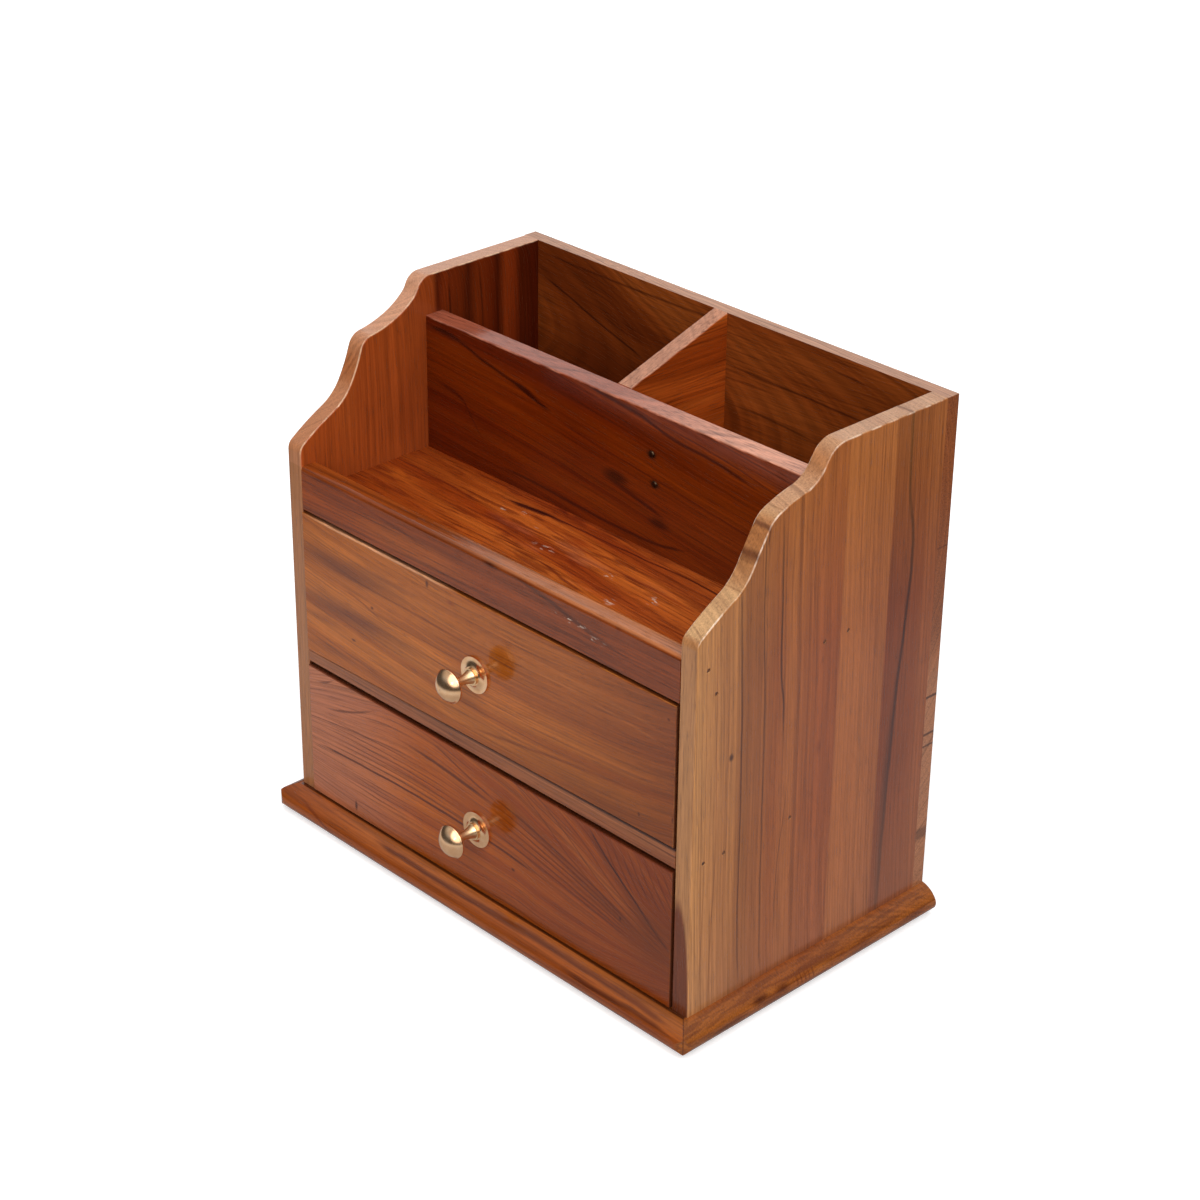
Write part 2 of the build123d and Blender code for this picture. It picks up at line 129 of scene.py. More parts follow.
floor_half = 6.0
floor_glow = 0.5
studio_glow = 0.08
fades_from, fades_to = 0.38, 0.62
dimmest_at, plain_at = 0.16, 0.36
floor_mesh = bpy.data.meshes.new("floor")
floor_corners = [Vector((x, y, 0)) * floor_half for x, y in ((-1, -1), (1, -1), (1, 1), (-1, 1))]
floor_mesh.from_pydata(floor_corners, [], [(0, 1, 2, 3)])
floor = bpy.data.objects.new("floor", floor_mesh)
scene.collection.objects.link(floor)
white_sweep, sweep = blank_material("white_sweep")
seen_by = put(sweep, "LightPath").outputs
glow_seen = put(sweep, "Math", {0: seen_by["Is Camera Ray"], 1: floor_glow}, operation="MULTIPLY")
matt = put(sweep, "BsdfDiffuse", {"Color": grey(0.72)})
glow = put(sweep, "Emission", {"Color": grey(1.0), "Strength": glow_seen.outputs[0]})
together = put(sweep, "AddShader", {0: matt.outputs[0], 1: glow.outputs[0]})
spot = put(sweep, "TexCoord").outputs["Object"]
away = put(sweep, "VectorMath", {0: spot}, operation="LENGTH").outputs["Value"]
far_off = put(sweep, "MapRange", {
    "Value": away, "From Min": fades_from, "From Max": fades_to, "To Min": 0.2,
})
painted_floor_shade = put(sweep, "MapRange", {
    "Value": away, "From Min": dimmest_at, "From Max": plain_at, "To Min": 0.45, "To Max": 0.0,
}, interpolation_type="SMOOTHSTEP")
dimmed = put(sweep, "Math", {0: far_off.outputs[0], 1: painted_floor_shade.outputs[0]}, operation="MAXIMUM")
unseen = put(sweep, "Math", {0: dimmed.outputs[0], 1: seen_by["Is Glossy Ray"]}, operation="MULTIPLY")
dark_studio = put(sweep, "Emission", {"Color": grey(1.0), "Strength": studio_glow})
ended = put(sweep, "MixShader", {
    0: unseen.outputs[0], 1: together.outputs[0], 2: dark_studio.outputs[0],
})
put(sweep, "OutputMaterial", {"Surface": ended.outputs[0]})
floor_mesh.materials.append(white_sweep)


# Base board. One teak board, a little larger than the case, that the sides and the back stand on. A
# thumb moulding is planed on its front and two ends, with a thin mitre line at the front right
# corner. It is streaky at its right end.
def tint(*seen):
    """Turn a colour as seen on a screen, from 0 to 255, into the renderer's own scale."""
    shares = [level / 255 for level in seen]
    return (*[((s + 0.055) / 1.055) ** 2.4 if s > 0.04045 else s / 12.92 for s in shares], 1.0)


def reach(node, axis):
    """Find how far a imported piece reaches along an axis, in mm."""
    places = [vertex.co["XYZ".index(axis)] / mm for vertex in nodes[node].data.vertices]
    return min(places), max(places)


def calc(tree, operation, *values):
    """Add a Math node and give back its result."""
    return put(tree, "Math", dict(enumerate(values)), operation=operation).outputs[0]


def ease(tree, value, low, high):
    """Rise smoothly from 0 to 1 as value goes from low to high."""
    limits = {"Value": value, "From Min": low, "From Max": high}
    return put(tree, "MapRange", limits, interpolation_type="SMOOTHSTEP").outputs[0]


def new_group(name, inputs, outputs):
    """Start a node group with named number inputs and outputs."""
    group = bpy.data.node_groups.new(name, "ShaderNodeTree")
    for way, labels in (("INPUT", inputs), ("OUTPUT", outputs)):
        for label in labels:
            group.interface.new_socket(label, in_out=way, socket_type="NodeSocketFloat")
    given = group.nodes.new("NodeGroupInput").outputs
    return group, given, group.nodes.new("NodeGroupOutput").inputs


def drawn_out_noise(tree, place, long_scale, fine_scale, detail, seed):
    """Noise drawn out along the grain: coarse lengthwise and fine crosswise."""
    along, across, depth = place
    spot = put(tree, "CombineXYZ", {
        0: calc(tree, "MULTIPLY_ADD", along, long_scale, seed),
        1: calc(tree, "MULTIPLY_ADD", across, fine_scale, seed),
        2: calc(tree, "MULTIPLY", depth, fine_scale),
    })
    return put(tree, "TexNoise", {"Vector": spot.outputs[0], "Scale": 1.0, "Detail": detail}).outputs[0]


def line_noise(tree, value, scale, seed, detail=1.0):
    """Noise along one line."""
    spot = calc(tree, "MULTIPLY_ADD", value, scale, seed)
    noise = put(tree, "TexNoise", {"W": spot, "Scale": 1.0, "Detail": detail}, noise_dimensions="1D")
    return noise.outputs[0]


def length_of(tree, one, other):
    """Work out a distance from two steps at right angles."""
    squares = [calc(tree, "POWER", step, 2.0) for step in (one, other)]
    return calc(tree, "SQRT", calc(tree, "ADD", *squares))


def make_growth_rings():
    """Group for growth rings round a pith, cut through anywhere: faces, edges and end grain."""
    group, given, result = new_group(
        "growth_rings",
        ("Along", "Across", "Depth", "Ring Width", "Pith Across", "Pith Depth", "Tilt", "Waver",
         "Seed"),
        ("Late Wood", "Stripe", "Pores", "Fibre", "Streaks"),
    )
    along, across, depth, seed = [given[label] for label in ("Along", "Across", "Depth", "Seed")]

    def grain_noise(long_scale, fine_scale, detail):
        return drawn_out_noise(group, (along, across, depth), long_scale, fine_scale, detail, seed)

    def give(label, value):
        group.links.new(value, result[label])

    wander = calc(group, "SUBTRACT", grain_noise(7.0, 24.0, 2.0), 0.5)
    from_pith = calc(group, "SUBTRACT", across, given["Pith Across"])
    sideways = calc(group, "MULTIPLY_ADD", wander, given["Waver"], from_pith)
    above_pith = calc(group, "SUBTRACT", depth, given["Pith Depth"])
    upwards = calc(group, "MULTIPLY_ADD", along, given["Tilt"], above_pith)
    ring = calc(group, "DIVIDE", length_of(group, sideways, upwards), given["Ring Width"])
    ring = calc(group, "MULTIPLY_ADD", line_noise(group, ring, 0.31, seed), 2.6, ring)
    growth = calc(group, "FRACT", ring)
    ring_number = calc(group, "ADD", calc(group, "FLOOR", ring), seed)
    year = put(group, "TexWhiteNoise", {"W": ring_number}, noise_dimensions="1D").outputs[0]
    late = calc(group, "SUBTRACT", ease(group, growth, 0.55, 0.93), ease(group, growth, 0.94, 1.0))
    fade = ease(group, grain_noise(9.0, 60.0, 1.0), 0.3, 0.62)
    strength = calc(group, "MULTIPLY", calc(group, "POWER", year, 1.6), fade)
    give("Late Wood", calc(group, "MULTIPLY", late, strength))
    cloudy = calc(group, "MULTIPLY", grain_noise(5.0, 42.0, 2.0), 0.4)
    broad = calc(group, "MULTIPLY_ADD", line_noise(group, ring, 0.23, seed, 2.0), 0.6, cloudy)
    give("Stripe", ease(group, broad, 0.32, 0.68))
    give("Pores", ease(group, grain_noise(130.0, 2300.0, 1.0), 0.56, 0.74))
    give("Streaks", ease(group, grain_noise(22.0, 1050.0, 4.0), 0.56, 0.66))
    strands = calc(group, "MULTIPLY", grain_noise(30.0, 1300.0, 5.0), 0.55)
    fine = line_noise(group, ring, 2.7, seed, 5.0)
    give("Fibre", calc(group, "MULTIPLY_ADD", fine, 0.45, strands))
    return group


def make_drawn_line():
    """Group for a dark line that follows a path and tapers away at both ends."""
    group, given, result = new_group(
        "drawn_line",
        ("Along", "Across", "Path", "Width", "Start", "End", "Taper"),
        ("Mask",),
    )
    thinnest = 0.01 * mm
    away = calc(group, "ABSOLUTE", calc(group, "SUBTRACT", given["Across"], given["Path"]))
    from_start = calc(group, "SUBTRACT", given["Along"], given["Start"])
    from_end = calc(group, "SUBTRACT", given["End"], given["Along"])
    nearest = calc(group, "DIVIDE", calc(group, "MINIMUM", from_start, from_end), given["Taper"])
    ends = put(group, "Clamp", {"Value": nearest}).outputs[0]
    half = calc(group, "MULTIPLY", given["Width"], calc(group, "SQRT", ends))
    off_line = calc(group, "DIVIDE", away, calc(group, "MAXIMUM", half, thinnest))
    inside = calc(group, "SUBTRACT", 1.0, ease(group, off_line, 0.15, 1.0))
    group.links.new(calc(group, "MULTIPLY", inside, ends), result["Mask"])
    return group


def make_soft_spot():
    """Group for a soft oval spot, such as a knot, a stain or a patch of another tone."""
    group, given, result = new_group(
        "soft_spot",
        ("Along", "Across", "Centre Along", "Centre Across", "Half Length", "Half Width", "Edge"),
        ("Mask",),
    )
    run = calc(group, "SUBTRACT", given["Along"], given["Centre Along"])
    rise = calc(group, "SUBTRACT", given["Across"], given["Centre Across"])
    run = calc(group, "DIVIDE", run, given["Half Length"])
    rise = calc(group, "DIVIDE", rise, given["Half Width"])
    out = ease(group, length_of(group, run, rise), given["Edge"], 1.0)
    group.links.new(calc(group, "SUBTRACT", 1.0, out), result["Mask"])
    return group


growth_rings = make_growth_rings()
drawn_line = make_drawn_line()
soft_spot = make_soft_spot()


def surface(tree, inputs):
    """Give a material its shader and its output."""
    shader = put(tree, "BsdfPrincipled", inputs)
    put(tree, "OutputMaterial", {"Surface": shader.outputs[0]})


class Board:
    """The material of one teak board, drawn along, across and through the board in mm."""

    def __init__(self, name, along, across, depth):
        self.material, self.tree = blank_material(name)
        where = put(self.tree, "TexCoord").outputs
        self.axes = put(self.tree, "SeparateXYZ", {0: where["Object"]}).outputs
        self.facing = put(self.tree, "SeparateXYZ", {0: where["Normal"]}).outputs
        self.end_mask = self.facing_mask(along)
        self.grain = self.axes[along], self.axes[across], self.axes[depth]
        self.along, self.across, self.depth = self.grain
        self.flowing = self.across

    def calc(self, operation, *values):
        """Add a Math node and give back its result."""
        return calc(self.tree, operation, *values)

    def ease(self, value, low, high):
        """Rise smoothly from 0 to 1 as value goes from low to high."""
        return ease(self.tree, value, low, high)

    def noise(self, long_scale, fine_scale, detail, seed):
        """Noise drawn out along the board's grain."""
        return drawn_out_noise(self.tree, self.grain, long_scale, fine_scale, detail, seed)

    def path(self, points):
        """Draw a smooth path through (along, across) places, and give its height at each."""
        low = min(value for _, value in points) - 1
        high = max(value for _, value in points) + 1
        start, end = points[0][0], points[-1][0]
        run = put(self.tree, "MapRange", {
            "Value": self.along, "From Min": start * mm, "From Max": end * mm,
        })
        curve = put(self.tree, "FloatCurve", {"Value": run.outputs[0]})
        line = curve.mapping.curves[0]
        while len(line.points) < len(points):
            line.points.new(0.5, 0.5)
        for point, (place, value) in zip(line.points, points):
            point.location = ((place - start) / (end - start), (value - low) / (high - low))
        curve.mapping.update()
        return put(self.tree, "MapRange", {
            "Value": curve.outputs[0], "To Min": low * mm, "To Max": high * mm,
        }).outputs[0]

    def bend(self, points):
        """Bend all the growth rings sideways along a path."""
        self.flowing = self.calc("SUBTRACT", self.flowing, self.path(points))

    def fan(self, points):
        """Spread or draw in the rings about the bent line, by a path of spacings in percent."""
        spacing = self.calc("MULTIPLY", self.path(points), 10.0)
        self.flowing = self.calc("DIVIDE", self.flowing, spacing)

    def rings(self, ring_width, pith_across, pith_depth, *, waver, seed, tilt=0.0):
        """Grow the wood round a pith."""
        grown = put(self.tree, "Group", {
            "Along": self.along, "Across": self.flowing, "Depth": self.depth,
            "Ring Width": ring_width * mm, "Pith Across": pith_across * mm,
            "Pith Depth": pith_depth * mm, "Tilt": tilt, "Waver": waver * mm, "Seed": seed,
        }, node_tree=growth_rings).outputs
        self.late, self.stripe, self.pores, self.fibre, self.streaks = grown

    def striped(self, dark, middle, light):
        """Start the colour with three tones of the broad stripes."""
        ramp = put(self.tree, "ValToRGB", {0: self.stripe})
        set_stops(ramp.color_ramp, [(0.0, dark), (0.5, middle), (1.0, light)])
        self.colour = ramp.outputs[0]

    def ramp_along(self, value, stops):
        """Give the colours of stops, each at its place in mm."""
        low, high = stops[0][0], stops[-1][0]
        limits = {"Value": value, "From Min": low * mm, "From Max": high * mm}
        ramp = put(self.tree, "ValToRGB", {0: put(self.tree, "MapRange", limits).outputs[0]})
        shares = [((place - low) / (high - low), colour) for place, colour in stops]
        set_stops(ramp.color_ramp, shares)
        return ramp.outputs[0]

    def zones(self, stops):
        """Start the colour with tones at given places across the board."""
        self.colour = self.ramp_along(self.across, stops)

    def zones_over(self, axis, stops, colour, *masks):
        """Lay a colour over the board by amounts at given places along an axis."""
        amounts = [(place, grey(amount)) for place, amount in stops]
        self.lay(colour, self.ramp_along(self.axes[axis], amounts), *masks)

    def end_line(self, height, width, colour, amount):
        """Draw a dark line across the sawn end of a level board, at a height in mm."""
        away = self.calc("ABSOLUTE", self.calc("SUBTRACT", self.axes["Z"], height * mm))
        off_line = self.ease(away, width * 0.4 * mm, width * mm)
        self.lay(colour, self.rest_of(off_line), self.end_mask, amount)

    def lay(self, colour, *amounts):
        """Lay another colour over what is there, by the product of the amounts."""
        amount = amounts[0]
        for more in amounts[1:]:
            amount = self.calc("MULTIPLY", amount, more)
        layers = {0: amount, 6: self.colour, 7: colour}
        self.colour = put(self.tree, "Mix", layers, data_type="RGBA").outputs[2]

    def vein(self, points, width, colour, amount, taper=12.0, waver=0.8):
        """Draw a dark vein through a few places, with a slight wander."""
        shake = self.noise(60.0, 5.0, 2.0, points[0][1])
        wander = self.calc("SUBTRACT", shake, 0.5)
        line = put(self.tree, "Group", {
            "Along": self.along, "Across": self.across,
            "Path": self.calc("MULTIPLY_ADD", wander, waver * mm, self.path(points)),
            "Width": width * mm, "Start": points[0][0] * mm, "End": points[-1][0] * mm,
            "Taper": taper * mm,
        }, node_tree=drawn_line)
        self.lay(colour, line.outputs[0], amount)

    def oval(self, centre, size, edge=0.2, level=None, upright=None):
        """Mark a soft oval spot by its centre and half sizes, along and across or on other axes."""
        return put(self.tree, "Group", {
            "Along": level or self.along, "Across": upright or self.across,
            "Centre Along": centre[0] * mm, "Centre Across": centre[1] * mm,
            "Half Length": size[0] * mm, "Half Width": size[1] * mm, "Edge": edge,
        }, node_tree=soft_spot).outputs[0]

    def spot(self, centre, size, colour, amount, edge=0.2):
        """Lay a soft oval spot."""
        self.lay(colour, self.oval(centre, size, edge), amount)

    def scuff(self, centre, size, amount=0.6):
        """Scatter small pale chips and scuffs in the lacquer over an oval."""
        chips = self.noise(260.0, 700.0, 2.0, centre[0])
        pale = tint(214, 190, 172)
        self.lay(pale, self.oval(centre, size, 0.1), self.ease(chips, 0.54, 0.62), amount)

    def squarely(self, turned):
        """Tell how squarely faces look one way: wholly within 25 degrees, not at all beyond 66."""
        return self.ease(turned, 0.4, 0.9)

    def facing_mask(self, axis):
        """Mark the faces that look along an axis, either way."""
        return self.squarely(self.calc("ABSOLUTE", self.facing[axis]))

    def side_mask(self, axis, way):
        """Mark the faces that look one way only along an axis."""
        return self.squarely(self.calc("MULTIPLY", self.facing[axis], way))

    def rest_of(self, mask):
        """Mark all that a mask leaves out."""
        return self.calc("SUBTRACT", 1.0, mask)

    def rise(self, axis, low, high):
        """Rise smoothly from 0 to 1 between two places in mm along an axis."""
        return self.ease(self.axes[axis], low * mm, high * mm)

    def behind(self, y):
        """Mark everything further back than a place in mm."""
        return self.rise("Y", y - 0.4, y + 0.4)

    def below(self, z):
        """Mark everything lower than a height in mm."""
        return self.rise("Z", z + 0.4, z - 0.4)

    def shade_inside(self, *masks):
        """Darken the hidden faces round the drawers with painted shade; little light and no lacquer
        reach them.
        """
        self.lay(tint(62, 30, 16), *masks, 0.75)

    def wear_and_glint(self, axis, colour, amount, above=0.0):
        """Rub the colour thin along the arrises of an axis's faces, above a height in mm; partly worn
        lacquer, partly a painted glint of light.
        """
        turned = self.calc("ABSOLUTE", self.facing[axis])
        arris = self.calc("SUBTRACT", self.ease(turned, 0.04, 0.3), self.ease(turned, 0.75, 0.98))
        patches = self.noise(90.0, 160.0, 2.0, 3.0)
        self.lay(colour, arris, self.ease(patches, 0.4, 0.62), self.rise("Z", above - 8, above), amount)

    def finish(self, late_colour, late_amount, end_colour=None, end_amount=0.0, gloss=0.11,
               fibres=0.26, streaks=0.4):
        """Lay on the late wood, streaks, pores and fibres, and finish the board with lacquer."""
        self.lay(late_colour, self.late, late_amount)
        self.lay(late_colour, self.streaks, streaks)
        if end_colour:
            self.lay(end_colour, self.end_mask, end_amount)
        self.lay(tint(58, 20, 8), self.pores, 0.38)
        brightness = put(self.tree, "MapRange", {
            "Value": self.fibre, "From Min": 0.36, "From Max": 0.64,
            "To Min": 1 - fibres, "To Max": 1 + fibres,
        })
        shaded = put(self.tree, "VectorMath", {0: self.colour, "Scale": brightness.outputs[0]},
                     operation="SCALE")
        strands = self.calc("MULTIPLY", self.fibre, 0.6)
        relief = self.calc("MULTIPLY_ADD", self.pores, -0.5, strands)
        bump = put(self.tree, "Bump", {"Height": relief, "Strength": 0.22, "Distance": 0.12 * mm})
        surface(self.tree, {
            "Base Color": shaded.outputs[0],
            "Roughness": self.calc("MULTIPLY_ADD", self.pores, 0.25, gloss),
            "Specular IOR Level": 0.38,
            "Normal": bump.outputs[0],
        })
        return self.material


def dress(node, material):
    """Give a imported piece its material."""
    nodes[node].data.materials.clear()
    nodes[node].data.materials.append(material)


case_front = reach("right_side", "Y")[0]
case_end = reach("right_side", "X")[1]
base = Board("base_board_teak", "X", "Z", "Y")
base.bend([(-138, 3), (-110, 1), (-60, 0), (20, 1), (138, 0)])
base.rings(2.3, -240, -26, waver=4.0, seed=11.0)
base.striped(tint(119, 54, 15), tint(143, 71, 23), tint(157, 86, 33))
base.vein([(-70, 12.5), (-20, 12), (40, 12.6), (130, 11.6)], 1.2, tint(77, 31, 13), 0.75)
base.vein([(-126, 12), (-110, 9), (-96, 5), (-84, 3)], 1.0, tint(95, 40, 16), 0.7)
base.vein([(-90, 4), (-60, 3), (0, 4), (60, 2.6), (128, 4)], 0.9, tint(103, 44, 16), 0.7)
base.vein([(10, 7), (50, 6.4), (90, 7.2), (134, 6)], 0.7, tint(103, 44, 16), 0.6)
base.vein([(60, 9.4), (84, 9), (108, 9.6), (132, 8.6)], 1.4, tint(69, 27, 11), 0.75)
base_end = base.ease(base.facing["X"], 0.15, 0.5)
base_x, base_y, base_z = [base.axes[axis] for axis in "XYZ"]
base.lay(tint(134, 70, 24), base_end, 0.75)
base.zones_over("Y", [(-84, 0.6), (-40, 0.3), (-5, 0.1), (30, 0.3), (79, 0.35)],
                tint(150, 88, 34), base_end)
streaky = drawn_out_noise(base.tree, (base_y, base_z, base_x), 55.0, 520.0, 3.0, 5.0)
base.lay(tint(84, 36, 16), base_end, base.ease(streaky, 0.42, 0.62), 0.55)
for centre, size, tone, amount in (
    ((-58, 6), (24, 3), tint(72, 30, 12), 0.7),
    ((-36, 9), (7, 2.6), tint(62, 24, 8), 0.8),
    ((-22, 8.4), (6, 3), tint(66, 26, 8), 0.75),
    ((-29, 10), (4, 1.6), tint(160, 94, 38), 0.6),
    ((2, 8), (12, 2.6), tint(164, 98, 42), 0.5),
    ((64, 6.5), (16, 2.4), tint(88, 40, 16), 0.6),
):
    base.lay(tone, base_end, base.oval(centre, size, 0.0, base_y, base_z), amount)
for place in (-13, -10.5, -8, -5.6, -3):
    stripe = base.oval((place, 8), (0.8, 4), 0.2, base_y, base_z)
    base.lay(tint(92, 40, 14), base_end, stripe, 0.6)
# A painted shadow on the top of the ledge just in front of the case, under the proud drawer fronts.
line_front, line_rear = case_front - 1.9, case_front + 0.4
before_case = base.rest_of(base.behind(line_rear))
within_ends = base.ease(base.calc("ABSOLUTE", base_x), case_end * mm, (case_end - 1.5) * mm)
ledge_shadow = base.behind(line_front), before_case, within_ends
base.lay(tint(48, 18, 8), base.side_mask("Z", 1.0), *ledge_shadow, 0.85)
mitre_foot = case_end - 2.2
outwards = base.calc("SUBTRACT", base_x, mitre_foot * mm)
forwards = base.calc("MULTIPLY_ADD", base_y, -1.0, case_front * mm)
off_mitre = base.calc("ABSOLUTE", base.calc("SUBTRACT", outwards, forwards))
mitre_line = base.rest_of(base.ease(off_mitre, 0.15 * mm, 0.5 * mm))
corner = base.oval((132, -76), (12, 12), 0.6, base_x, base_y)
base.lay(tint(66, 30, 16), mitre_line, corner, 0.7)
dress("base_board", base.finish(tint(88, 40, 20), 0.7))

# Right side. One upright panel glued up from four staves of teak, with its grain running upwards, a
# golden stave in front and a dark one behind, and a two-step scallop sawn in its front top.
# It is lacquered, and the arris of the scallop is laid pale: partly worn lacquer, partly a painted
# glint.
dark_line = tint(56, 18, 7)
shelf_underside = reach("shelf_board", "Z")[0]
right = Board("right_side_teak", "Z", "Y", "X")
right.bend([(14, 3), (60, 1), (110, 0), (150, -1), (200, -3), (256, -4)])
right.rings(3.4, -240, 60, waver=3.0, seed=3.0)
right.zones([
    (-73, tint(191, 131, 75)), (-52, tint(180, 117, 64)), (-46, tint(146, 86, 42)),
    (-36, tint(152, 88, 42)), (-26, tint(150, 79, 34)), (-18, tint(162, 91, 42)),
    (-8, tint(154, 81, 36)), (6, tint(148, 73, 32)), (11.4, tint(141, 70, 31)),
    (12.2, tint(164, 92, 45)), (32, tint(166, 94, 48)), (40.6, tint(160, 90, 45)),
    (41.6, tint(116, 52, 24)), (56, tint(126, 60, 28)), (72, tint(134, 67, 32)),
])
sawn_edge = right.rest_of(right.facing_mask("X"))
# The sawn edges are laid pale, and pinker towards the rear: partly the paler edge grain, partly a
# painted sheen of the light from above.
right.lay(tint(209, 172, 125), sawn_edge, 0.85)
right.lay(tint(180, 138, 112), sawn_edge, right.rise("Y", -34, -24), 0.7)
right.lay(tint(140, 78, 34), sawn_edge, right.oval((229, -37), (12, 9), 0.3), 0.8)
right.lay(tint(150, 92, 44), sawn_edge, right.oval((212, -52), (5, 9), 0.2), 0.6)
right.lay(tint(112, 52, 26), right.rest_of(right.stripe), 0.4)
right.vein([(14, -42), (50, -44.5), (110, -45.2), (150, -46.4), (180, -47.8), (215, -49.5)],
           0.75, dark_line, 0.75)
right.vein([(14, -29), (50, -31), (100, -32), (150, -33), (200, -35.5), (250, -36)],
           0.65, dark_line, 0.7)
right.vein([(120, -20.5), (145, -21.5), (165, -24), (200, -25), (250, -27)], 0.9, dark_line, 0.85, 30)
right.vein([(14, -21), (60, -21.5), (95, -18), (120, -16)], 0.5, dark_line, 0.5, 30)
right.vein([(0, 46.3), (40, 47), (80, 48.5), (120, 50.5), (165, 54), (190, 55.3), (210, 53),
            (225, 50.8), (262, 50)], 1.5, tint(50, 14, 6), 0.85, 4)
right.vein([(-20, 45.5), (60, 46.5), (110, 49), (160, 53)], 3.4, tint(76, 34, 22), 0.6, 60)
right.lay(tint(146, 82, 46), right.oval((150, 68), (150, 7), 0.3), 0.35)
right.spot((133.2, -51.8), (2.6, 2.1), tint(66, 30, 18), 0.9)
right.spot((116.7, 2.0), (5.0, 2.4), tint(96, 44, 24), 0.5, 0.0)
# A dark strip along the foot: partly glue, partly painted shade where the side meets the base.
right.spot((14, 0), (5, 90), tint(96, 44, 26), 0.45, 0.0)
# Paler and greyer towards the foot: a painted reflection of the floor in the lacquer.
right.zones_over("Z", [(14, 0.25), (90, 0.0)], tint(172, 120, 92))
right.zones_over("Z", [(170, 0.0), (250, 0.3)], tint(190, 124, 66))
right.vein([(10, -60), (40, -61), (90, -59.5), (150, -61), (200, -62)], 0.5, tint(120, 68, 36), 0.6)
right.vein([(20, -67), (80, -66), (190, -68)], 0.4, tint(120, 68, 36), 0.5)
right_front = right.side_mask("Y", -1.0)
right.lay(tint(160, 102, 59), right_front, 0.8)
foot = right.oval((14, 123), (60, 7.6), 0.82, right.axes["Z"], right.axes["X"])
right.lay(tint(94, 38, 20), right_front, foot, 0.9)
right.vein([(216, -44), (222, -40), (228, -41), (236, -36)], 1.2, tint(84, 40, 20), 0.8, 4)
right.vein([(222, -35), (230, -34), (240, -33)], 0.9, tint(84, 40, 20), 0.7, 4)
# Pale arris of the scallop: partly worn lacquer, partly a painted glint of light.
right.wear_and_glint("X", tint(242, 218, 194), 0.5, 198)
in_case = right.below(shelf_underside), right.behind(case_front + 0.1)
right.shade_inside(right.side_mask("X", -1.0), *in_case)
dress("right_side", right.finish(tint(74, 28, 12), 0.4, fibres=0.2, streaks=0.25))

# Left side. The right side's fellow, from one broad board, planed the same, with the steps of its
# scallop sawn a little further forward. The darker rear of it shows inside the left pocket.
left = Board("left_side_teak", "Z", "Y", "X")
left.bend([(14, 0), (100, 2), (180, 3), (256, -3)])
left.rings(4.2, -200, 40, waver=4.0, seed=7.0)
# Its tones, as seen on the inner face, carry some painted shade of the left pocket.
left.zones([
    (-73, tint(168, 76, 29)), (-20, tint(162, 74, 29)), (6, tint(145, 64, 25)), (9, tint(80, 26, 9)),
    (13, tint(117, 43, 14)), (24, tint(102, 35, 9)), (28, tint(67, 20, 6)), (33, tint(117, 43, 12)),
    (42, tint(101, 33, 8)), (46, tint(64, 17, 4)), (51, tint(130, 49, 15)), (56, tint(123, 44, 13)),
    (60, tint(75, 22, 5)), (72, tint(68, 17, 4)), (79, tint(135, 65, 28)),
])
left.lay(tint(104, 44, 18), left.rest_of(left.stripe), 0.12)
left.spot((205, -46), (34, 9), tint(180, 92, 40), 0.2, 0.0)
left.spot((196, -12), (26, 7), tint(128, 52, 20), 0.35, 0.0)
left.vein([(171, 19), (200, 20), (230, 17), (256, 16)], 1.1, dark_line, 0.7)
left.vein([(171, 38), (205, 37), (235, 36), (256, 34)], 0.9, dark_line, 0.6)
left_edge = left.rest_of(left.facing_mask("X"))
# The sawn edges are laid pale, and pinker towards the rear: partly the paler edge grain, partly a
# painted sheen of the light from above.
left.lay(tint(172, 119, 83), left_edge, 0.8)
left.lay(tint(154, 100, 62), left.side_mask("Y", -1.0), left.below(184), 0.85)
left.lay(tint(198, 146, 116), left_edge, left.rise("Y", -36, -28), 0.7)
left.lay(tint(146, 76, 30), left_edge, left.oval((226, -43), (14, 8), 0.3), 0.7)
# The outer face gets a paler tone laid over, to lift the painted shade that the tones carry.
left.lay(tint(160, 90, 44), left.side_mask("X", -1.0), 0.4)
left.wear_and_glint("X", tint(224, 188, 152), 0.6, 186)
in_case = left.below(shelf_underside), left.behind(case_front + 0.1)
left.shade_inside(left.side_mask("X", 1.0), *in_case)
dress("left_side", left.finish(tint(92, 36, 14), 0.3, fibres=0.2, streaks=0.15))

# Drawer divider. A board between the two drawers, housed between the sides, whose planed front edge
# shows as a rail. Its top is planed down to the left, with a painted shadow along it.
divider = Board("divider_teak", "X", "Z", "Y")
divider.rings(3.8, -40, -60, tilt=0.05, waver=3.0, seed=19.0)
divider.striped(tint(105, 52, 26), tint(133, 74, 42), tint(151, 90, 55))
edge = divider.path([(-121, 89.9), (0, 91.8), (121, 93.6)])
above_edge = divider.calc("SUBTRACT", divider.axes["Z"], edge)
# Painted shadow of the proud upper drawer front, along the sloping top edge, fading out to the left.
overhang_shadow = divider.ease(above_edge, -1.3 * mm, -0.3 * mm)
divider.zones_over("X", [(-90, 0.0), (-20, 0.8), (121, 1.0)], tint(52, 24, 16), overhang_shadow)
divider.shade_inside(divider.facing_mask("Z"), divider.behind(case_front + 0.5))
dress("drawer_divider", divider.finish(dark_line, 0.5))

